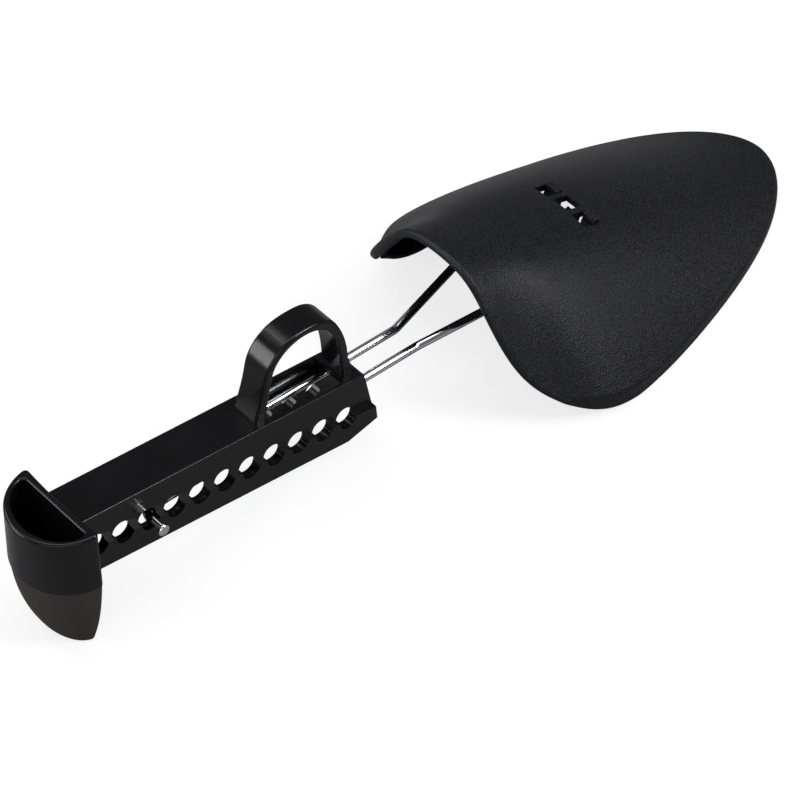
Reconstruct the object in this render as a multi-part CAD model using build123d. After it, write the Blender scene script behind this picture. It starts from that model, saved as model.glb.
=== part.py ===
"""Shoe stretcher: a moulded toe plate, a chromed spring wire and a moulded arm with a finger ring and heel.

All lengths are millimetres. X runs from the heel to the toe, Z is up and the floor is at zero.
The arm is drawn in its own level frame first and then tipped nose down onto its place.
"""
from build123d import *
import math
import os

os.makedirs("parts", exist_ok=True)

# Driving sizes of the arm, in the arm's own level frame
hole_pitch = 8.0
hole_count = 11
hole_diameter = 5.45
first_hole_x = 4.0
arm_tip_down_deg = 9.56
arm_frame_height = 27.24
top_half_width = 6.5
top_inner_half_width = 5.4
flange_half_width = 8.2
wall = 1.2
roof_rear_height = 9.5
roof_front_height = 11.4
roof_front_x = 89.0
flange_bottom_depth = 7.9
flange_front_x = 94.5
flange_front_depth = 4.4
web_front_x = 93.3
chamfer_rear_x = 85.2
arm_rear_margin = 8.0
slot_rear_x = 59.0
slot_front_x = 83.0
slot_half_width = 5.4
arm_edge_radius = 0.35

# Finger ring on the arm
ring_half_width = 4.2
ring_edge_radius = 0.7
ring_rear_x = 55.0
ring_front_x = 88.4
ring_base_height = 10.2
ring_start_deg = 75.8
ring_arc_shares = [
    (1.718, 13.2),
    (0.337, -74.3),
    (0.726, -16.7),
    (0.269, -51.1),
    (0.953, -22.8),
    (0.825, 20.0),
]
ring_hole_rear_x = 58.9
ring_hole_front_x = 84.0
ring_hole_base_height = 10.0
ring_hole_start_deg = 91.6
ring_hole_arc_shares = [
    (5.517, -5.6),
    (0.367, -43.1),
    (0.431, -107.2),
    (2.009, -19.4),
]

# Heel cup and foot
cup_front_x = 0.3
cup_front_hollow = 0.65
cup_rim_height = 39.5
cup_rim_half_width = 14.05
cup_rim_rear_x = -14.0
seam_height = 21.8
seam_front_x = 0.05
seam_half_width = 14.7
seam_rear_x = -14.05
cup_front_wall = 2.4
cup_round_wall = 2.1
cup_floor = 2.4
cup_corner_radius = 1.2
cup_pocket_draft = 1.6
cup_rim_radius = 0.7
cup_pocket_radius = 0.5
foot_seam_inset = 0.35
foot_front_lift = 1.8
foot_edge_radius = 0.8
foot_station_shares = [
    (0.0, 0.815, 0.621, 1.0),
    (0.06, 0.828, 0.665, 0.81),
    (0.15, 0.846, 0.726, 0.57),
    (0.3, 0.876, 0.814, 0.29),
    (0.5, 0.915, 0.905, 0.09),
    (0.75, 0.961, 0.976, 0.0),
    (1.0, 1.0, 1.0, 0.0),
]

# Spring wire
wire_diameter = 2.3
pin_hole_index = 2
pin_offset_x = 0.95
pin_offset_z = -0.75
leg_half_gap = 4.0
pin_head_end_y = 12.3
pin_head_length = 1.0
pin_head_diameter = 3.3
pin_bend_radius = 2.4
joggle_x = 109.4
joggle_z = 9.02
joggle_bend_radius = 6.0
crossbar_x = 165.0
crossbar_height = 23.8
crossbar_half_length = 14.6
crossbar_corner_radius = 3.4

# Toe plate
plate_back_x = 119.5
plate_corner_x = 139.3
plate_widest_x = 148.9
plate_tip_x = 238.5
plate_half_width = 42.6
corner_half_width = 40.6
back_half_width = 35.45
back_spread_share = 0.03
back_crest_height = 43.9
window_crest_height = 29.9
plate_border_height = 2.53
plate_wall = 2.0
rim_extra = 0.4
rim_fade = 4.0
back_blend = 1.0
slope_step = 0.5
plan_power_y = 1.907
plan_power_x = 1.522
dome_power = 1.208
dome_tip_height = 12.0
arch_knee_share = 0.377
arch_soft_share = 0.2
arch_slope_share = 0.691
ridge_soften = 6.0
flank_flat_share = 0.019
toe_fullness = 1.0
arch_fade_length = 74.0
back_sweep_length = 20.6
back_sweep_height = 10.35
back_sweep_power = 1.188
back_toe_in_length = 7.29
back_toe_in_height = 1.3
plate_edge_radius = 2.0
rim_outer_radius = 1.0
rim_inner_radius = 0.5
surface_margin = 5.0

# Windows in the crest and the hooks under them
window_length = 5.0
window_width = 5.2
window_pitch = 7.0
hook_width = 4.4
hook_clearance = 0.08
hook_wall = 1.7
hook_gap_start_deg = 70.0
hook_gap_end_deg = 165.0
hook_root_height = 28.6


def shift_x():
    """The distance that brings the middle of the whole length to the origin."""
    return -(seam_rear_x + plate_tip_x) / 2


def to_place(shape):
    """Moves a shape drawn in the working frame to the part's own origin."""
    return Pos(shift_x(), 0, 0) * shape


def tip_arm(shape):
    """Tips a shape drawn in the arm's level frame nose down onto its place."""
    return Pos(0, 0, arm_frame_height) * Rot(0, arm_tip_down_deg, 0) * shape


def tip_point(x, y, z):
    """The same move for one point."""
    c = math.cos(math.radians(arm_tip_down_deg))
    s = math.sin(math.radians(arm_tip_down_deg))
    return (c * x + s * z, y, arm_frame_height - s * x + c * z)


def side_prism(points, half_width):
    """A solid whose side view is the given outline and whose width is centred."""
    outline = Plane.XZ * Polyline(*points, close=True)
    return extrude(make_face(outline), half_width, both=True)


def roof_height(x):
    """Height of the arm's roof along its length."""
    return roof_rear_height + (roof_front_height - roof_rear_height) * x / roof_front_x


def make_arm():
    """The stepped channel with its holes, roof slot and finger ring."""
    rear = -arm_rear_margin
    upper = side_prism(
        [
            (rear, 0),
            (rear, roof_height(rear)),
            (roof_front_x, roof_front_height),
            (web_front_x, 0),
        ],
        top_half_width,
    )
    lower = side_prism(
        [
            (rear, 0),
            (web_front_x, 0),
            (flange_front_x, -flange_front_depth),
            (chamfer_rear_x, -flange_bottom_depth),
            (rear, -flange_bottom_depth),
        ],
        flange_half_width,
    )
    long_edges = upper.edges().filter_by(lambda e: e.center().Z > roof_rear_height)
    long_edges = long_edges.filter_by(lambda e: e.length > 2 * top_half_width + wall)
    body = fillet(long_edges, arm_edge_radius) + lower
    far = flange_front_x + arm_rear_margin
    hollow = side_prism(
        [
            (rear - wall, -flange_bottom_depth - wall),
            (rear - wall, roof_height(rear) - wall),
            (roof_front_x, roof_front_height - wall),
            (far, roof_height(far) - wall),
            (far, -flange_bottom_depth - wall),
        ],
        top_inner_half_width,
    )
    body = body - hollow
    slot = side_prism(
        [
            (slot_rear_x, roof_height(slot_rear_x) - 3 * wall),
            (slot_rear_x, roof_front_height + wall),
            (slot_front_x, roof_front_height + wall),
            (slot_front_x, roof_height(slot_rear_x) - 3 * wall),
        ],
        slot_half_width,
    )
    body = body - slot
    for index in range(hole_count):
        x = first_hole_x + hole_pitch * index
        drill = Pos(x, 0, 0) * Rot(90, 0, 0) * Cylinder(hole_diameter / 2, 3 * flange_half_width)
        body = body - drill
    return body + make_ring()


def arc_chain(start, start_deg, arc_shares, length):
    """Arcs that run on smoothly; each has a radius as a share of the length, and a turn in degrees."""
    arcs = []
    spot = start
    heading = math.radians(start_deg)
    for radius_share, turn in arc_shares:
        tangent = (math.cos(heading), math.sin(heading))
        arc = JernArc(start=spot, tangent=tangent, radius=length * radius_share, arc_size=turn)
        arcs.append(arc)
        spot = arc @ 1
        heading += math.radians(turn)
    return arcs


def make_ring():
    """The finger ring: an arch on the roof, thicker where it meets the arm."""
    outer = arc_chain(
        (ring_rear_x, ring_base_height),
        ring_start_deg,
        ring_arc_shares,
        ring_front_x - ring_rear_x,
    )
    inner = arc_chain(
        (ring_hole_rear_x, ring_hole_base_height),
        ring_hole_start_deg,
        ring_hole_arc_shares,
        ring_hole_front_x - ring_hole_rear_x,
    )
    outer_face = Face(Wire(outer + [Line(outer[-1] @ 1, outer[0] @ 0)]))
    foot_drop = 3 * wall
    rear = inner[0] @ 0
    front = inner[-1] @ 1
    base = [
        Line(front, (front.X, front.Y - foot_drop)),
        Line((front.X, front.Y - foot_drop), (rear.X, front.Y - foot_drop)),
        Line((rear.X, front.Y - foot_drop), rear),
    ]
    inner_face = Face(Wire(inner + base))
    outer_solid = extrude(Plane.XZ * outer_face, ring_half_width, both=True)
    inner_solid = extrude(Plane.XZ * inner_face, 2 * ring_half_width, both=True)
    ring = outer_solid - inner_solid
    edges = ring.edges().filter_by(lambda e: e.center().Z > roof_front_height + 3 * wall)
    edges = edges.filter_by(lambda e: abs(abs(e.center().Y) - ring_half_width) < wall / 10)
    return fillet(edges, ring_edge_radius)


def heel_outline(height, front_x, rear_x, half_width, hollow):
    """A D seen from above: flat or slightly hollow in front, half an ellipse at the rear."""
    near = (front_x, -half_width)
    far = (front_x, half_width)
    front = Line(near, far)
    if hollow > 0:
        front = ThreePointArc(near, (front_x - hollow, 0), far)
    rear = EllipticalCenterArc(
        (front_x, 0), front_x - rear_x, half_width, start_angle=90, arc_size=180
    )
    return Pos(0, 0, height) * Face(Wire([front, rear]))


def round_corners(body, radius):
    """Rounds the two upright corners of a lofted D."""
    span = body.bounding_box()
    low = span.min.Z + (span.max.Z - span.min.Z) / 4
    high = span.max.Z - (span.max.Z - span.min.Z) / 4
    upright = body.edges().filter_by(lambda e: low < e.center().Z < high)
    return fillet(upright, radius)


def make_cup():
    """The D-shaped cup with its open pocket and a rounded rim."""
    low = heel_outline(seam_height, seam_front_x, seam_rear_x, seam_half_width, cup_front_hollow)
    top = heel_outline(
        cup_rim_height, cup_front_x, cup_rim_rear_x, cup_rim_half_width, cup_front_hollow
    )
    body = round_corners(loft([low, top]), cup_corner_radius)
    rim = body.edges().filter_by(lambda e: e.center().Z > cup_rim_height - cup_rim_radius / 10)
    body = fillet(rim, cup_rim_radius)
    pocket_low = heel_outline(
        seam_height + cup_floor,
        cup_front_x - cup_front_wall - cup_pocket_draft,
        seam_rear_x + cup_round_wall + cup_pocket_draft,
        seam_half_width - cup_round_wall - cup_pocket_draft,
        0,
    )
    pocket_top = heel_outline(
        cup_rim_height,
        cup_front_x - cup_front_wall,
        cup_rim_rear_x + cup_round_wall,
        cup_rim_half_width - cup_round_wall,
        0,
    )
    pocket = round_corners(loft([pocket_low, pocket_top]), cup_corner_radius)
    body = body - pocket
    inner_rim = body.edges().filter_by(lambda e: e.center().Z > cup_rim_height - cup_rim_radius / 10)
    inner_rim = inner_rim.filter_by(
        lambda e: e.bounding_box().max.X < cup_front_x - cup_front_wall + cup_pocket_radius
        and e.bounding_box().min.X > cup_rim_rear_x + cup_round_wall - cup_pocket_radius
    )
    return fillet(inner_rim, cup_pocket_radius)


def make_foot():
    """The duller foot under the seam, drawn in towards its rounded bottom."""
    half_width = seam_half_width - foot_seam_inset
    rear_x = seam_rear_x + foot_seam_inset
    sections = []
    for height, width, rear, lift in foot_station_shares:
        sections.append(
            heel_outline(
                seam_height * height,
                seam_front_x - foot_front_lift * lift,
                rear_x * rear,
                half_width * width,
                0,
            )
        )
    foot = round_corners(loft(sections), cup_corner_radius)
    bottom = foot.edges().filter_by(lambda e: e.center().Z < foot_edge_radius / 10)
    return fillet(bottom, foot_edge_radius)


def unit(a):
    """The vector scaled to one."""
    return a / a.length


def bent_path(points, radii):
    """A path through the points with an arc of the given radius at each inner point."""
    spots = [Vector(*p) for p in points]
    edges = []
    start = spots[0]
    for index in range(1, len(spots) - 1):
        before = unit(spots[index - 1] - spots[index])
        after = unit(spots[index + 1] - spots[index])
        angle = math.acos(max(-1.0, min(1.0, before.dot(after))))
        reach = radii[index - 1] / math.tan(angle / 2)
        first = spots[index] + before * reach
        last = spots[index] + after * reach
        bisector = unit(before + after)
        centre = spots[index] + bisector * (radii[index - 1] / math.sin(angle / 2))
        middle = centre - bisector * radii[index - 1]
        edges.append(Line(start, first))
        edges.append(ThreePointArc(first, middle, last))
        start = last
    edges.append(Line(start, spots[-1]))
    return edges


def crossbar_end_y():
    """Where the straight crossbar ends and the leg's corner begins."""
    run = crossbar_x - tip_point(joggle_x, 0, joggle_z)[0]
    rise = crossbar_height - tip_point(joggle_x, 0, joggle_z)[2]
    spread = crossbar_half_length - leg_half_gap
    length = math.sqrt(run * run + rise * rise + spread * spread)
    angle = math.acos(spread / length)
    return crossbar_half_length - crossbar_corner_radius * math.tan((math.pi - (math.pi - angle)) / 2)


def make_leg(side):
    """One leg of the wire: crossbar corner, joggle, straight run, pin and its upset head."""
    pin_x = first_hole_x + hole_pitch * pin_hole_index + pin_offset_x
    head_start = pin_head_end_y - pin_head_length
    end_y = crossbar_end_y()
    points = [
        (crossbar_x, side * end_y, crossbar_height),
        (crossbar_x, side * crossbar_half_length, crossbar_height),
        tip_point(joggle_x, side * leg_half_gap, joggle_z),
        tip_point(pin_x, side * leg_half_gap, pin_offset_z),
        tip_point(pin_x, side * head_start, pin_offset_z),
    ]
    radii = [crossbar_corner_radius * 0.999, joggle_bend_radius, pin_bend_radius]
    edges = bent_path(points, radii)
    path = Wire(edges)
    start_plane = Plane(origin=points[0], z_dir=(0, side, 0))
    leg = sweep(start_plane * Circle(wire_diameter / 2), path=path)
    head_place = Location(Plane(origin=points[-1], z_dir=(0, side, 0)))
    head = head_place * Pos(0, 0, pin_head_length / 2) * Cylinder(pin_head_diameter / 2, pin_head_length)
    outer_edge = head.edges().sort_by(Axis.Y)
    outer_edge = outer_edge[-1] if side > 0 else outer_edge[0]
    head = fillet(outer_edge, pin_head_length * 0.6)
    return leg + head


def make_crossbar():
    """The straight bar that the toe plate's hooks hold."""
    end_y = crossbar_end_y()
    return Pos(crossbar_x, 0, crossbar_height) * Rot(90, 0, 0) * Cylinder(wire_diameter / 2, 2 * end_y)


def smooth_step(value):
    """Goes from zero to one with level ends."""
    value = max(0.0, min(1.0, value))
    return value * value * (3 - 2 * value)


def midway(x):
    """Nothing at the widest place and at the tip, and one half way between them."""
    share = max(0.0, min(1.0, (x - plate_widest_x) / (plate_tip_x - plate_widest_x)))
    return math.sin(math.pi * share) ** 2


def plan_half_width(x):
    """Half width of the plate's outline on the floor, with slightly flattened flanks."""
    if x >= plate_widest_x:
        share = min(1.0, (x - plate_widest_x) / (plate_tip_x - plate_widest_x))
        width = plate_half_width * (1 - share ** plan_power_x) ** (1 / plan_power_y)
        return width * (1 - flank_flat_share * midway(x))
    share = (plate_widest_x - x) / (plate_widest_x - plate_corner_x)
    corner = plate_half_width - (plate_half_width - corner_half_width) * share * share
    back = back_half_width + back_spread_share * (x - plate_back_x)
    gap = corner - back
    return (corner + back + math.sqrt(gap * gap + back_blend * back_blend)) / 2


def crest_scale(x):
    """Height of the dome above its border along the crest."""
    window_mid = window_crest_height - plate_border_height
    slope = (dome_tip_height - window_mid) / (plate_tip_x - crossbar_x)
    return window_mid + slope * (x - crossbar_x)


def front_height(x, y):
    """Dome used from the windows to the tip."""
    ahead = max(0.0, x - plate_widest_x) / (plate_tip_x - plate_widest_x)
    soft = (y * y + ridge_soften * ridge_soften) ** (plan_power_y / 2) - ridge_soften ** plan_power_y
    level = soft / plate_half_width ** plan_power_y + ahead ** plan_power_x
    dome = plate_border_height + crest_scale(x) * (1 - level ** dome_power)
    across = min(1.0, abs(y) / max(plan_half_width(x), slope_step))
    return dome + toe_fullness * midway(x) * (1 - across * across)


def back_height(x, y):
    """Arch with nearly straight sides used at the back rim."""
    crest = back_crest_height + (window_crest_height - back_crest_height) * (x - plate_back_x) / (
        crossbar_x - plate_back_x
    )
    u = abs(y) / plan_half_width(x)
    near = math.sqrt((u - arch_knee_share) ** 2 + arch_soft_share ** 2)
    far = math.sqrt((u + arch_knee_share) ** 2 + arch_soft_share ** 2)
    rest = math.sqrt(arch_knee_share ** 2 + arch_soft_share ** 2)
    return crest * (1 - arch_slope_share * (near + far - 2 * rest))


def plate_height(x, y):
    """Height of the plate's outer surface."""
    share = smooth_step((x - plate_back_x) / arch_fade_length)
    if share == 1:
        return front_height(x, y)
    return (1 - share) * back_height(x, y) + share * front_height(x, y)


def back_edge_x(z):
    """Where the plate's back edge stands at a height, seen from the side."""
    share = max(0.0, z) / back_sweep_height
    sweep = back_sweep_length * math.exp(-(share ** back_sweep_power))
    toe_in = back_toe_in_length * math.exp(-max(0.0, z) / back_toe_in_height)
    return plate_back_x + sweep + toe_in


def inner_height(x, y):
    """Height of the plate's inner surface, one wall below the outer one."""
    slope_x = (plate_height(x + slope_step, y) - plate_height(x - slope_step, y)) / (2 * slope_step)
    slope_y = (plate_height(x, y + slope_step) - plate_height(x, y - slope_step)) / (2 * slope_step)
    z = plate_height(x, y)
    extra = rim_extra * math.exp(-(((x - back_edge_x(z)) / rim_fade) ** 2))
    return z - (plate_wall + extra) * math.sqrt(1 + slope_x * slope_x + slope_y * slope_y)


def under_surface(height):
    """A solid below a height field, cut level far under the floor."""
    low_x = plate_back_x - surface_margin
    high_x = plate_tip_x + surface_margin
    high_y = plate_half_width + surface_margin
    bottom = -2 * back_crest_height
    count_x = 23
    count_y = 24
    sections = []
    for i in range(count_x):
        x = low_x + (high_x - low_x) * i / (count_x - 1)
        top = []
        for j in range(count_y + 1):
            y = -high_y + 2 * high_y * j / count_y
            top.append((x, y, height(x, y)))
        outline = [
            Spline(*top),
            Line(top[-1], (x, high_y, bottom)),
            Line((x, high_y, bottom), (x, -high_y, bottom)),
            Line((x, -high_y, bottom), top[0]),
        ]
        sections.append(Face(Wire(outline)))
    return loft(sections)


def plan_prism(inset, height, bottom):
    """The plate's outline from above, drawn in by the inset and pulled up."""
    count = 26
    low_x = plate_back_x - surface_margin
    rim = []
    for i in range(count):
        share = math.sin(math.pi / 2 * i / count)
        x = low_x + (plate_tip_x - low_x) * share
        rim.append((x, plan_half_width(x)))
    rim.append((plate_tip_x, 0))
    drawn_in = []
    for i in range(count + 1):
        ahead = rim[i + 1] if i < count else (rim[i - 1][0], -rim[i - 1][1])
        behind = rim[max(i - 1, 0)]
        run = ahead[0] - behind[0]
        rise = ahead[1] - behind[1]
        length = math.hypot(run, rise)
        drawn_in.append((rim[i][0] + inset * rise / length, rim[i][1] - inset * run / length))
    drawn_in[0] = (low_x, drawn_in[0][1])
    mirrored = [(x, -y) for x, y in reversed(drawn_in[:-1])]
    curve = Spline(*(drawn_in + mirrored))
    closing = Line(mirrored[-1], drawn_in[0])
    face = Face(Wire([curve, closing]))
    return Pos(0, 0, bottom) * extrude(face, height, dir=(0, 0, 1))


def back_cutter():
    """Everything behind the plate's curved back edge."""
    far = plate_back_x - 2 * surface_margin
    high = back_crest_height + surface_margin
    deep = -2 * surface_margin
    count = 20
    edge = []
    for i in range(count + 1):
        z = high * (i / count) ** 2.4
        edge.append((back_edge_x(z), z))
    foot_x = edge[0][0]
    outline = [
        Spline(*edge),
        Line(edge[-1], (far, high)),
        Line((far, high), (far, deep)),
        Line((far, deep), (foot_x, deep)),
        Line((foot_x, deep), edge[0]),
    ]
    face = Face(Plane.XZ * Wire(outline))
    return Pos(0, 2 * plate_half_width, 0) * extrude(face, 4 * plate_half_width)


def make_hook(y, side):
    """A hook round the crossbar whose stem stands on one side of it."""
    inner = wire_diameter / 2 + hook_clearance
    outer = inner + hook_wall
    ring = Circle(outer) - Circle(inner)
    reach = 2 * outer
    a = math.radians(hook_gap_start_deg)
    b = math.radians(hook_gap_end_deg)
    gap = Polyline(
        (0, 0),
        (reach * math.cos(a), reach * math.sin(a)),
        (reach * math.cos((a + b) / 2), reach * math.sin((a + b) / 2)),
        (reach * math.cos(b), reach * math.sin(b)),
        close=True,
    )
    profile = ring - make_face(gap)
    stem_height = hook_root_height - crossbar_height
    stem = Pos((inner + outer) / 2, stem_height / 2) * Rectangle(hook_wall, stem_height)
    profile = profile + stem
    if side < 0:
        profile = mirror(profile, about=Plane.YZ)
    solid = extrude(Plane.XZ * profile, hook_width / 2, both=True)
    return Pos(crossbar_x, y, crossbar_height) * solid


def make_plate():
    """The toe plate with its rim, windows and hooks."""
    outer = under_surface(plate_height) & plan_prism(0, 2 * back_crest_height, 0)
    outer = outer - back_cutter()
    border = outer.edges().filter_by(lambda e: e.center().Z > plate_border_height / 4)
    border = border.filter_by(lambda e: e.center().X > plate_widest_x)
    outer = fillet(border, plate_edge_radius)
    inner = under_surface(inner_height) & plan_prism(plate_wall, 2 * back_crest_height, -surface_margin)
    shell = outer - inner
    rim = shell.edges().filter_by(lambda e: e.center().X < plate_back_x + surface_margin)
    rim = rim.filter_by(lambda e: e.length > plate_half_width)
    rim = rim.sort_by(lambda e: e.length)
    shell = fillet(rim[-1], rim_outer_radius)
    rim = shell.edges().filter_by(lambda e: e.center().X < plate_back_x + surface_margin)
    rim = rim.filter_by(lambda e: e.length > plate_half_width)
    rim = rim.sort_by(lambda e: e.length)
    shell = fillet(rim[0], rim_inner_radius)
    for index in (-1, 0, 1):
        y = index * window_pitch
        cut = Pos(crossbar_x, y, window_crest_height) * Box(
            window_length, window_width, 2 * surface_margin
        )
        shell = shell - cut
    for index in (-1, 0, 1):
        shell = shell + make_hook(index * window_pitch, 1 if index else -1)
    return shell


def finish(shape, name):
    """Writes one placed part."""
    placed = to_place(shape)
    solids = placed.solids()
    print(name, "solids", len(solids), "valid", all(s.is_valid for s in solids))
    export_step(placed, "parts/" + name + ".step")


keep_front = Pos(cup_front_x + plate_tip_x / 2, 0, 0) * Box(plate_tip_x, plate_tip_x, 2 * plate_tip_x)
finish(tip_arm(make_arm()) & keep_front, "arm")
finish(make_cup(), "heel_cup")
finish(make_foot(), "heel_foot")
finish(make_crossbar(), "wire_crossbar")
finish(make_leg(1), "wire_leg_left")
finish(make_leg(-1), "wire_leg_right")
finish(make_plate(), "toe_plate")
print("bottom centre shift", shift_x())
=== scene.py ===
# %% [markdown]
# A wire shoe stretcher, dressed for a product picture.
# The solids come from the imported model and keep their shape, so most of this lesson is about
# finishes: a glossy moulded arm, a spark-textured toe plate, a dull foot and a bright chromed
# wire. One small form is added, the turned-in lower edges of the toe plate.

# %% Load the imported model
import bpy
import bmesh
import math
from mathutils import Matrix, Vector


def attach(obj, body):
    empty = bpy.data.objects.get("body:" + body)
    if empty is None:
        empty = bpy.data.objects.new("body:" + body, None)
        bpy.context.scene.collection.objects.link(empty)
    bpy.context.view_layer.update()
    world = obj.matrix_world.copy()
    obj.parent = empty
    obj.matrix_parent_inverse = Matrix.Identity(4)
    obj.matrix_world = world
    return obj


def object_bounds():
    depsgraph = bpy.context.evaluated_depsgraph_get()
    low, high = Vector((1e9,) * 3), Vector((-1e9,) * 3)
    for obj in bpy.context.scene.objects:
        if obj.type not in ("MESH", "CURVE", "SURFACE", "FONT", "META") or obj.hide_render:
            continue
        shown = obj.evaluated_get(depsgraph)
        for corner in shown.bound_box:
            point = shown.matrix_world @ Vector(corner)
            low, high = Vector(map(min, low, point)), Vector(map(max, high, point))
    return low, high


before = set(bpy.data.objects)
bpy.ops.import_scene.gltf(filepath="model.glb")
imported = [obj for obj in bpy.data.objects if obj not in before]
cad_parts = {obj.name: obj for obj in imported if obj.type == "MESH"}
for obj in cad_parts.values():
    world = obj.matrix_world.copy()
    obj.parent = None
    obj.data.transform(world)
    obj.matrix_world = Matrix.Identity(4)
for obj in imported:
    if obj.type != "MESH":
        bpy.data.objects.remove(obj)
cad_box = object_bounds()
mm = 0.001  # Blender counts in metres
print("box", cad_box)

# %% [markdown]
# Colours are written as sRGB hex values, the way a paint program shows them. Blender's shaders
# count light linearly. Linear values could be typed in, but nobody can picture a colour from
# them, so one function turns each hex value to linear: a short straight part for the darkest
# values and a power curve above it.

# %% Colour helper
brightest_byte = 255
straight_top = 0.04045
straight_slope = 12.92
curve_lift = 0.055
curve_power = 2.4


def linear(hex_value):
    """An sRGB hex colour as the linear colour a shader wants."""
    channels = []
    for start in (1, 3, 5):  # where red, green and blue begin in "#rrggbb"
        value = int(hex_value[start:start + 2], 16) / brightest_byte
        if value <= straight_top:
            channels.append(value / straight_slope)
        else:
            channels.append(((value + curve_lift) / (1 + curve_lift)) ** curve_power)
    return (*channels, 1.0)


pure_white = linear("#ffffff")
print("white is", pure_white, "and half grey is", round(linear("#808080")[0], 3))

# %% [markdown]
# A material is a small graph of nodes. Each node could be made, set and linked in lines of its
# own, but one helper that does all three lets a finish read from top to bottom like a recipe.
# A socket's name is written with underscores for its spaces.


# %% Node helper
def add(tree, kind, settings=None, **inputs):
    """Adds one node, sets its plain settings, and links or sets its inputs by name."""
    node = tree.nodes.new(kind)
    for name, value in (settings or {}).items():
        setattr(node, name, value)
    for name, value in inputs.items():
        socket = node.inputs[name.replace("_", " ")]
        if isinstance(value, bpy.types.NodeSocket):
            tree.links.new(value, socket)
        else:
            socket.default_value = value
    return node


# %% [markdown]
# A new material comes with a ready-made shader, which could be changed into each finish. An empty
# graph with only its output is clearer, because it shows every node that a finish is made of.


# %% Material helper
def empty_material(name):
    """A material with only its output, ready for a recipe."""
    material = bpy.data.materials.new(name)
    material.use_nodes = True
    material.node_tree.nodes.clear()
    output = add(material.node_tree, "ShaderNodeOutputMaterial")
    print("new material", material.name)
    return material, material.node_tree, output


# %% [markdown]
# The arm, its finger ring and the heel cup are moulded glossy polystyrene. A polished steel mould
# gives a skin that mirrors its surroundings, with slow waves where the plastic shrank and light
# marks from handling. A photographed skin could be wrapped on, but that needs a flat map of every
# piece. Two noises in the object's own space need none, and each is scaled from a real size.

# %% Moulded polystyrene: waves and marks
shrink_wave = 14 * mm
wave_detail = 2.0
scuff_size = 0.9 * mm
scuff_detail = 4.0
polystyrene, tree, output = empty_material("glossy_moulded_polystyrene")
place = add(tree, "ShaderNodeTexCoord")
wave = add(
    tree, "ShaderNodeTexNoise",
    Vector=place.outputs["Object"], Scale=1 / shrink_wave, Detail=wave_detail,
)
marks = add(
    tree, "ShaderNodeTexNoise",
    Vector=place.outputs["Object"], Scale=1 / scuff_size, Detail=scuff_detail,
)
print("waves of", shrink_wave / mm, "mm and marks of", scuff_size / mm, "mm")

# %% [markdown]
# The marks decide how sharp the gloss is, between a polished and a rubbed place. The waves shade
# the black a little and bend the reflections. Real bumps in the mesh would do that too, but a
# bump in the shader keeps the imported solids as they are.

# %% Moulded polystyrene: rubbed places and waves
marks_from = 0.35
marks_to = 0.75
polished = 0.14
rubbed = 0.26
rub = add(
    tree, "ShaderNodeMapRange", Value=marks.outputs["Fac"],
    From_Min=marks_from, From_Max=marks_to, To_Min=polished, To_Max=rubbed,
)
wave_strength = 0.12
wave_depth = 0.15 * mm
dent = add(
    tree, "ShaderNodeBump",
    Strength=wave_strength, Distance=wave_depth, Height=wave.outputs["Fac"],
)
print("roughness from", polished, "to", rubbed)

# %% [markdown]
# The black is not one colour, so the slow waves shade it a little from place to place. Polystyrene
# has an index of 1.59. In the photograph the arm mirrors less than that index gives, so the
# specular level is half of its default.

# %% Moulded polystyrene: black gloss
polystyrene_dark = "#08080a"
polystyrene_light = "#0f0f11"
tint = add(tree, "ShaderNodeValToRGB", Fac=wave.outputs["Fac"])
dark_end, light_end = tint.color_ramp.elements
dark_end.color = linear(polystyrene_dark)
light_end.color = linear(polystyrene_light)
polystyrene_index = 1.59
polystyrene_specular = 0.25
gloss = add(
    tree, "ShaderNodeBsdfPrincipled",
    Base_Color=tint.outputs["Color"], Roughness=rub.outputs["Result"], IOR=polystyrene_index,
    Specular_IOR_Level=polystyrene_specular, Normal=dent.outputs["Normal"],
)
tree.links.new(gloss.outputs["BSDF"], output.inputs["Surface"])
print(polystyrene.name, "has", len(tree.nodes), "nodes")

# %% [markdown]
# The toe plate is polypropylene from a spark-eroded mould. The sparks leave tiny craters, so the
# plate looks dull grey black and glitters a little where light grazes it. The craters could be
# real dents, but that takes millions of faces, so a noise stands for them. Real ones are a tenth
# or two of a millimetre across and wouldn't show, so they are drawn 0.36 mm across.

# %% Spark-textured polypropylene: craters and patches
crater = 0.36 * mm
crater_detail = 3.0
cooling_patch = 25 * mm
patch_detail = 2.0
spark, tree, output = empty_material("spark_textured_polypropylene")
place = add(tree, "ShaderNodeTexCoord")
grit = add(
    tree, "ShaderNodeTexNoise",
    Vector=place.outputs["Object"], Scale=1 / crater, Detail=crater_detail,
)
patch = add(
    tree, "ShaderNodeTexNoise",
    Vector=place.outputs["Object"], Scale=1 / cooling_patch, Detail=patch_detail,
)
print("craters of", crater / mm, "mm and patches of", cooling_patch / mm, "mm")

# %% [markdown]
# The grain is mostly light and shade painted into the colour: a painted shade at the bottom of
# each crater and a painted glint on its rim, where the light would catch. A bump alone would
# flatten the shading of the whole dome before the grain showed, so the painted colour carries most
# of it. Wide patches, left by uneven cooling, soften the sheen here and there.

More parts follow.
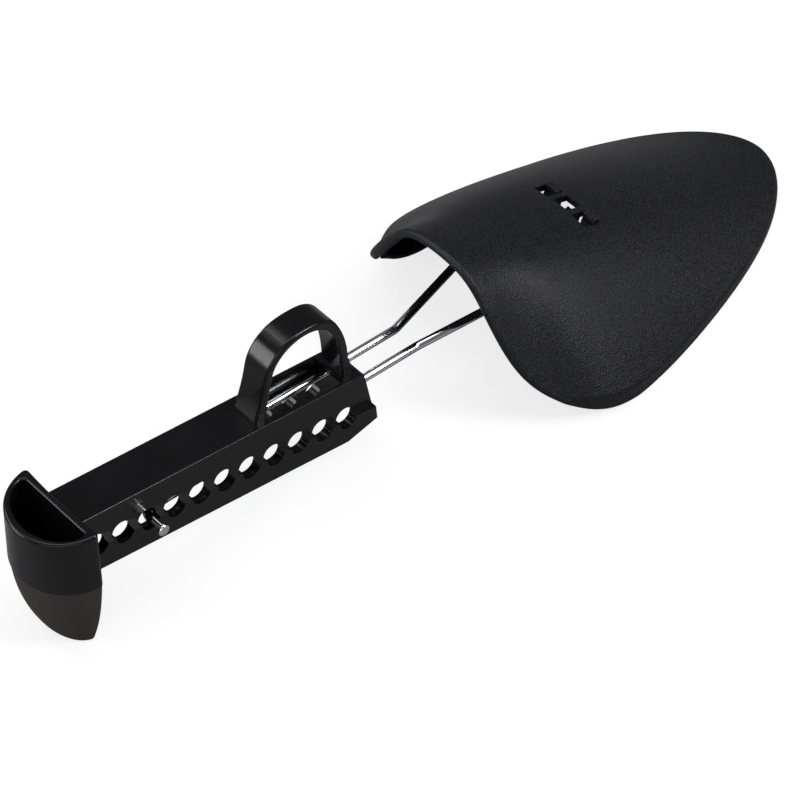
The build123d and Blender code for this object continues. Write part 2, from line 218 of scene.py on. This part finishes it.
# %% Spark-textured polypropylene: grain painted as shade and glint
# painted shade at the crater bottoms and painted glint on the crater rims, spread by the crater
# noise
painted_crater_shade = "#030304"
painted_crater_shade_at = 0.46
painted_crater_glint = "#1e1f28"
painted_crater_glint_at = 0.57
tint = add(tree, "ShaderNodeValToRGB", Fac=grit.outputs["Fac"])
dark_end, light_end = tint.color_ramp.elements
dark_end.position = painted_crater_shade_at
dark_end.color = linear(painted_crater_shade)
light_end.position = painted_crater_glint_at
light_end.color = linear(painted_crater_glint)
crater_strength = 1.0
crater_depth = 0.16 * mm
pits = add(
    tree, "ShaderNodeBump",
    Strength=crater_strength, Distance=crater_depth, Height=grit.outputs["Fac"],
)
print("grain from", painted_crater_shade, "to", painted_crater_glint)

# %% [markdown]
# Polypropylene has an index of 1.49. The roughness sets how wide the sheen spreads over the dome.
# One value all over would look painted, so the wide patches move it a little up and down.

# %% Spark-textured polypropylene: sheen
sheen_sharp = 0.34
sheen_soft = 0.4
soft = add(
    tree, "ShaderNodeMapRange", Value=patch.outputs["Fac"],
    To_Min=sheen_sharp, To_Max=sheen_soft,
)
polypropylene_index = 1.49
polypropylene_specular = 0.3
dull = add(
    tree, "ShaderNodeBsdfPrincipled",
    Base_Color=tint.outputs["Color"], Roughness=soft.outputs["Result"], IOR=polypropylene_index,
    Specular_IOR_Level=polypropylene_specular, Normal=pits.outputs["Normal"],
)
tree.links.new(dull.outputs["BSDF"], output.inputs["Surface"])
print(spark.name, "has", len(tree.nodes), "nodes")

# %% [markdown]
# Below its seam the heel is dull and slightly brown, as polypropylene gets where the mould was
# only blasted with grit. One flat colour would look like paint, so it has a grain as well,
# flatter than the plate's and under a higher roughness, which gives the dry look. Real grit
# leaves a finer grain, drawn at 0.35 mm so that it shows.

# %% Blasted polypropylene: grain
blast_grain = 0.35 * mm
blast_detail = 3.0
blast_dark = "#2e2827"
blast_light = "#423b3a"
blasted, tree, output = empty_material("blasted_polypropylene")
place = add(tree, "ShaderNodeTexCoord")
grain = add(
    tree, "ShaderNodeTexNoise",
    Vector=place.outputs["Object"], Scale=1 / blast_grain, Detail=blast_detail,
)
tint = add(tree, "ShaderNodeValToRGB", Fac=grain.outputs["Fac"])
dark_end, light_end = tint.color_ramp.elements
dark_end.color = linear(blast_dark)
light_end.color = linear(blast_light)
print("grain of", round(blast_grain / mm, 2), "mm from", blast_dark, "to", blast_light)

# %% [markdown]
# The foot is taken to be the plate's plastic, so it shares the index and the specular level, and
# colour and surface make the difference. The bump is weaker, and the roughness spreads the light
# so wide that hardly any sheen is left.

# %% Blasted polypropylene: dry surface
blast_strength = 0.3
blast_depth = 0.08 * mm
pits = add(
    tree, "ShaderNodeBump",
    Strength=blast_strength, Distance=blast_depth, Height=grain.outputs["Fac"],
)
dry_roughness = 0.6
dry = add(
    tree, "ShaderNodeBsdfPrincipled",
    Base_Color=tint.outputs["Color"], Roughness=dry_roughness, IOR=polypropylene_index,
    Specular_IOR_Level=polypropylene_specular, Normal=pits.outputs["Normal"],
)
tree.links.new(dry.outputs["BSDF"], output.inputs["Surface"])
print(blasted.name, "has", len(tree.nodes), "nodes")

# %% [markdown]
# The spring is drawn steel wire with bright chrome on it. Drawing leaves faint lines along the
# wire, which stretch each highlight. They could follow every bend, but both legs run nearly along
# X, so a noise that is stretched fifty times along X and drives the roughness is enough. Real
# lines are finer than 0.3 mm and wouldn't show.

# %% Chromed spring wire: drawing lines
draw_line = 0.3 * mm
line_detail = 2.0
line_stretch = (0.02, 1.0, 1.0)
chrome, tree, output = empty_material("bright_chromed_steel_wire")
place = add(tree, "ShaderNodeTexCoord")
turned = add(
    tree, "ShaderNodeMapping", {"vector_type": "POINT"},
    Vector=place.outputs["Object"], Scale=line_stretch,
)
lines = add(
    tree, "ShaderNodeTexNoise",
    Vector=turned.outputs["Vector"], Scale=1 / draw_line, Detail=line_detail,
)
print("lines of", draw_line / mm, "mm, stretched", round(1 / line_stretch[0]), "times")

# %% [markdown]
# Bright chrome is a metal mirror, nearly white, and keeps the default index. A grey plastic with
# a strong gloss could stand for it, but that keeps a grey of its own where a metal only mirrors.
# The lines change nothing but its roughness, between a clear place and a lined one.

# %% Chromed spring wire: mirror
chrome_colour = "#ededf0"
chrome_clear = 0.06
chrome_lined = 0.16
shine = add(
    tree, "ShaderNodeMapRange", Value=lines.outputs["Fac"],
    To_Min=chrome_clear, To_Max=chrome_lined,
)
bright = add(
    tree, "ShaderNodeBsdfPrincipled",
    Base_Color=linear(chrome_colour), Roughness=shine.outputs["Result"], Metallic=1.0,
)
tree.links.new(bright.outputs["BSDF"], output.inputs["Surface"])
print(chrome.name, "has", len(tree.nodes), "nodes")

# %% [markdown]
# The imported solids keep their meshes. Copies of them could be dressed instead, but each solid
# already has its material slots, so only what the slots hold is changed.

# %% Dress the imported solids
finish_of = {
    "arm": polystyrene,
    "heel_cup": polystyrene,
    "heel_foot": blasted,
    "toe_plate": spark,
    "wire_crossbar": chrome,
    "wire_leg_left": chrome,
    "wire_leg_right": chrome,
}
for name, material in finish_of.items():
    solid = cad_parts[name]
    for slot in solid.material_slots:
        slot.material = material
    print(name, "wears", material.name)

# %% [markdown]
# Inside the toe plate the lower edge of each flank turns in, so the far flank shows a dark hollow
# below the rim. Each turned edge is a narrow curved strip. It could be drawn by hand, but a flat
# grid bent by a formula keeps an even mesh. The strip has to stay above the plate's own lower
# edge, which rises towards the rear, so that line comes first.

# %% Line of the plate's lower edge
edge_rear_x = 15.2 * mm
edge_run = 20.0 * mm
edge_rear_height = 10.0 * mm
edge_power = 2.1


def edge_height(x):
    """How high the plate's lower edge stands above the floor at a place along it."""
    share = min(max((x - edge_rear_x) / edge_run, 0.0), 1.0)
    return edge_rear_height * (1.0 - share) ** edge_power


print("lower edge at its rear end", round(edge_height(edge_rear_x) / mm, 2), "mm up")

# %% [markdown]
# The strip grows from the plate's inner wall, which stands at a different place all along the
# plate. Those places could be typed in, but a ray fired sideways from the middle plane finds the
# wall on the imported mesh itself. Where there is no wall, the strip's free edge takes its place.

# %% Inner wall of the plate
turn_rear_x = 18.0 * mm
turn_reach = 50.0 * mm
turn_free_y = 32.9 * mm
turn_curl_height = 3.5 * mm
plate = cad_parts["toe_plate"]


def wall_inside(x, height, side):
    """How far from the middle the plate's inner wall stands, on one side."""
    middle = Vector((x, 0.0, height))
    hit, wall_place, *_ = plate.ray_cast(middle, Vector((0.0, side, 0.0)))
    return abs(wall_place.y) if hit else turn_free_y


for x in (turn_rear_x, turn_rear_x + turn_reach):
    wall_y = wall_inside(x, edge_height(x) + turn_curl_height, 1.0)
    print("wall at", round(x / mm, 1), "mm stands", round(wall_y / mm, 1), "mm out")

# %% [markdown]
# Seen from behind, the strip curls down from the wall to its free edge. It widens quickly at its
# rear end, runs straight, and fades into the wall towards the toe. Straight tapers would leave a
# kink at each change, so two easing curves shape them.


# %% Easing curves
def ease_out(share):
    """Goes from 0 to 1, fast at first and level at the end."""
    return share * (2.0 - share)


def ease_both(share):
    """Goes from 0 to 1, level at both ends."""
    return share * share * (3.0 - 2.0 * share)


print("half way", ease_out(0.5), "and", ease_both(0.5))

# %% [markdown]
# Two shares say where a point of the strip is, how far along it and how far across. Every point
# could be typed in as a list, but one formula gives them all, and each of its sizes can be changed
# by itself. The root bites a little into the wall, so that no gap shows there.

# %% Curve of a turned edge
turn_thickness = 1.4 * mm
turn_floor_gap = 0.2 * mm
turn_root_bite = 0.9 * mm
turn_start_share = 0.1
turn_straight_share = 0.4


def turned_place(along, across, side):
    """A place on the strip: 0 to 1 along it, and 0 to 1 from the wall to its free edge."""
    x = turn_rear_x + turn_reach * along
    low = edge_height(x) + turn_floor_gap + turn_thickness
    root = wall_inside(x, low + turn_curl_height, side) + turn_root_bite
    widest = min(turn_free_y, root - turn_root_bite)
    start = min(along / turn_start_share, 1.0)
    free = root + (widest - root) * ease_out(start)
    fade = max(along - turn_straight_share, 0.0) / (1.0 - turn_straight_share)
    free = free + (root - free) * ease_both(fade)
    y = root + (free - root) * across
    return Vector((x, side * y, low + turn_curl_height * (1.0 - across) ** 2))


wall_end = turned_place(turn_straight_share, 0.0, 1.0)
free_end = turned_place(turn_straight_share, 1.0, 1.0)
print("strip", round((wall_end - free_end).y / mm, 1), "mm across where it starts to fade")

# %% [markdown]
# The grid has far more cells along the strip than across it, because the curve is longer that
# way. Its faces are turned up before it gets any thickness.

# %% Bent sheet
cells_along = 40
cells_across = 8
grid_half = 0.5


def bent_sheet(name, side):
    """The strip of one side as a sheet without thickness."""
    shape = bmesh.new()
    bmesh.ops.create_grid(
        shape, x_segments=cells_along, y_segments=cells_across, size=grid_half)
    for vertex in shape.verts:
        vertex.co = turned_place(vertex.co.x + grid_half, vertex.co.y + grid_half, side)
    bmesh.ops.recalc_face_normals(shape, faces=shape.faces)
    shape.faces.ensure_lookup_table()
    if shape.faces[0].normal.z < 0:
        bmesh.ops.reverse_faces(shape, faces=shape.faces)
    mesh = bpy.data.meshes.new(name)
    shape.to_mesh(mesh)
    shape.free()
    mesh.shade_smooth()
    print(name, "has", len(mesh.vertices), "vertices")
    return mesh


# %% [markdown]
# A moulded edge has a thickness that shows from behind. A second sheet could be modelled below
# the first, but the Solidify modifier grows the thickness downwards and leaves one sheet to shape.

# %% Turned edges of the flanks
grow_down = -1.0


def turned_edge(name, side):
    """Adds the turned edge of one side, which rides with the toe plate."""
    mesh = bent_sheet(name, side)
    mesh.materials.append(spark)
    strip = bpy.data.objects.new(name, mesh)
    bpy.context.scene.collection.objects.link(strip)
    wall = strip.modifiers.new("wall", "SOLIDIFY")
    wall.thickness = turn_thickness
    wall.offset = grow_down
    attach(strip, "toe")


turned_edge("toe_plate_left_turned_edge", 1.0)
turned_edge("toe_plate_right_turned_edge", -1.0)

# %% [markdown]
# The picture was taken from above the heel's right side with a long lens. A camera could be
# dragged until it looks right, but one that is worked out from angles and distances can be
# measured and repeated. First come its four directions: to its right, level ahead, ahead and up.

# %% Directions of the camera
camera_azimuth_deg = -41.81
camera_elevation_deg = 47.93
azimuth = math.radians(camera_azimuth_deg)
elevation = math.radians(camera_elevation_deg)
right = Vector((math.cos(azimuth), math.sin(azimuth), 0))
level = Vector((-math.sin(azimuth), math.cos(azimuth), 0))
forward = level * math.cos(elevation) - Vector((0, 0, math.sin(elevation)))
upward = level * math.sin(elevation) + Vector((0, 0, math.cos(elevation)))
print("camera looks along", [round(part, 3) for part in forward])

# %% [markdown]
# The camera stands back from the place that the middle of the frame shows. That place is given
# from a point behind the model's origin. The lens could be picked from the usual ones, but it
# follows from the picture: a thing as wide as its distance from the camera would cover a certain
# number of pixels.

# %% Camera
camera_distance = 940.3 * mm
aim_right = 80.06 * mm
aim_up = 50.40 * mm
origin_ahead = 112.225 * mm  # how far the model's origin lies ahead of that point
stand = right * aim_right + upward * aim_up - forward * camera_distance
stand = stand - Vector((origin_ahead, 0, 0))
turn = Matrix((right, upward, -forward)).transposed().to_4x4()

picture_size = 800
focal_pixels = 3847.4
sensor_width = 36.0
camera_data = bpy.data.cameras.new("product_camera")
camera_data.sensor_width = sensor_width
camera_data.lens = focal_pixels * sensor_width / picture_size
camera = bpy.data.objects.new("product_camera", camera_data)
camera.matrix_world = Matrix.Translation(stand) @ turn
bpy.context.scene.collection.objects.link(camera)
bpy.context.scene.camera = camera
bpy.context.scene.view_settings.view_transform = "Standard"
print("lens", round(camera_data.lens, 1))

# %% [markdown]
# The floor is white paper. In a product picture it is bright enough to vanish, yet it keeps a
# soft grey shadow. Stronger lamps would whiten it and bleach the object as well, so the paper
# gets a glow that the camera sees and nothing else does.

# %% White paper
paper_grey = "#8a8a8c"
paper_glow = 0.77
paper, tree, output = empty_material("white_paper_sweep")
seen = add(tree, "ShaderNodeLightPath")
matte = add(tree, "ShaderNodeBsdfDiffuse", Color=linear(paper_grey))
glow = add(tree, "ShaderNodeEmission", Color=pure_white, Strength=paper_glow)
none = add(tree, "ShaderNodeEmission", Strength=0.0)
choice = add(tree, "ShaderNodeMixShader", Fac=seen.outputs["Is Camera Ray"])
_, for_others, for_camera = choice.inputs
tree.links.new(none.outputs["Emission"], for_others)
tree.links.new(glow.outputs["Emission"], for_camera)
both = add(tree, "ShaderNodeAddShader")
plain_part, glowing_part = both.inputs
tree.links.new(matte.outputs["BSDF"], plain_part)
tree.links.new(choice.outputs["Shader"], glowing_part)
tree.links.new(both.outputs["Shader"], output.inputs["Surface"])
print("paper glows by", paper_glow)

# %% [markdown]
# The paper lies flat, a hair below the object's lowest point, so that the two never share a
# surface. It could curve up behind the object as in a studio, but the camera looks down and one
# flat sheet fills the frame.

# %% Paper floor
floor_half = 3.0
floor_gap = 0.02 * mm
floor_height = cad_box[0][2] - floor_gap
sheet_mesh = bpy.data.meshes.new("paper_floor")
shape = bmesh.new()
bmesh.ops.create_grid(shape, x_segments=1, y_segments=1, size=floor_half)
bmesh.ops.translate(shape, vec=(0, 0, floor_height), verts=shape.verts)
shape.to_mesh(sheet_mesh)
shape.free()
paper_floor = bpy.data.objects.new("paper_floor", sheet_mesh)
paper_floor.data.materials.append(paper)
bpy.context.scene.collection.objects.link(paper_floor)
print("floor", round(floor_height / mm, 2), "mm from the origin's height")

# %% [markdown]
# A pale room closes the set. It could be a picture of a studio, but an even, weak light fills the
# shadows without shapes of its own in the gloss. The camera sees the room as plain white, so the
# paper has no far edge.

# %% Pale room
room_light = 0.14
world = bpy.data.worlds.new("pale_room")
bpy.context.scene.world = world
world.use_nodes = True
tree = world.node_tree
tree.nodes.clear()
output = add(tree, "ShaderNodeOutputWorld")
seen = add(tree, "ShaderNodeLightPath")
room = add(tree, "ShaderNodeBackground", Color=pure_white, Strength=room_light)
white = add(tree, "ShaderNodeBackground", Color=pure_white, Strength=1.0)
choice = add(tree, "ShaderNodeMixShader", Fac=seen.outputs["Is Camera Ray"])
_, for_others, for_camera = choice.inputs
tree.links.new(room.outputs["Background"], for_others)
tree.links.new(white.outputs["Background"], for_camera)
tree.links.new(choice.outputs["Shader"], output.inputs["Surface"])
print("room light", room_light)

# %% [markdown]
# Dark plastic is lit with soft boxes, big flat lamps that show as clean shapes in the gloss. Spot
# lamps would be simpler, but they leave small hard dots. A box is placed as a photographer says
# it, so far to the right, so far behind and so far up, and it is turned to face the origin.


# %% Soft box helper
def soft_box(name, place, width, depth, power):
    """A lamp placed by camera-right, camera-level and height in metres, aimed at the origin."""
    to_right, behind, up = place
    spot = right * to_right + level * behind + Vector((0, 0, up))
    side = (right - spot * right.dot(spot) / spot.dot(spot)).normalized()
    out = spot.normalized()
    facing = Matrix((side, out.cross(side), out)).transposed().to_4x4()
    data = bpy.data.lights.new(name, "AREA")
    data.shape = "RECTANGLE"
    data.size = width
    data.size_y = depth
    data.energy = power
    lamp = bpy.data.objects.new(name, data)
    lamp.matrix_world = Matrix.Translation(spot) @ facing
    bpy.context.scene.collection.objects.link(lamp)
    print(name, "power", power)


# %% [markdown]
# Five boxes do the work. The wide one above lights the tops. The one on the left stands further
# back and throws the shadow to the right of the plate, and a low one lifts the left side of the
# foot. The one on the right lays the broad sheen on the near side of the dome, and the large one
# in front whitens the wires.

# %% Five soft boxes
soft_boxes = [
    # name, (right, behind, up) in metres, width and depth in metres, power in watts
    ("top_soft_box", (0.05, 0.2, 1.2), 1.3, 0.5, 6.5),
    ("left_soft_box", (-0.9, 0.5, 1.0), 0.5, 0.5, 4.0),
    ("low_left_soft_box", (-1.0, -0.2, 0.35), 0.5, 0.5, 5.0),
    ("right_soft_box", (0.85, -0.15, 0.82), 0.35, 0.35, 7.0),
    ("front_soft_box", (-0.1, -1.0, 0.5), 1.2, 0.9, 3.5),
]
for name, place, width, depth, power in soft_boxes:
    soft_box(name, place, width, depth, power)
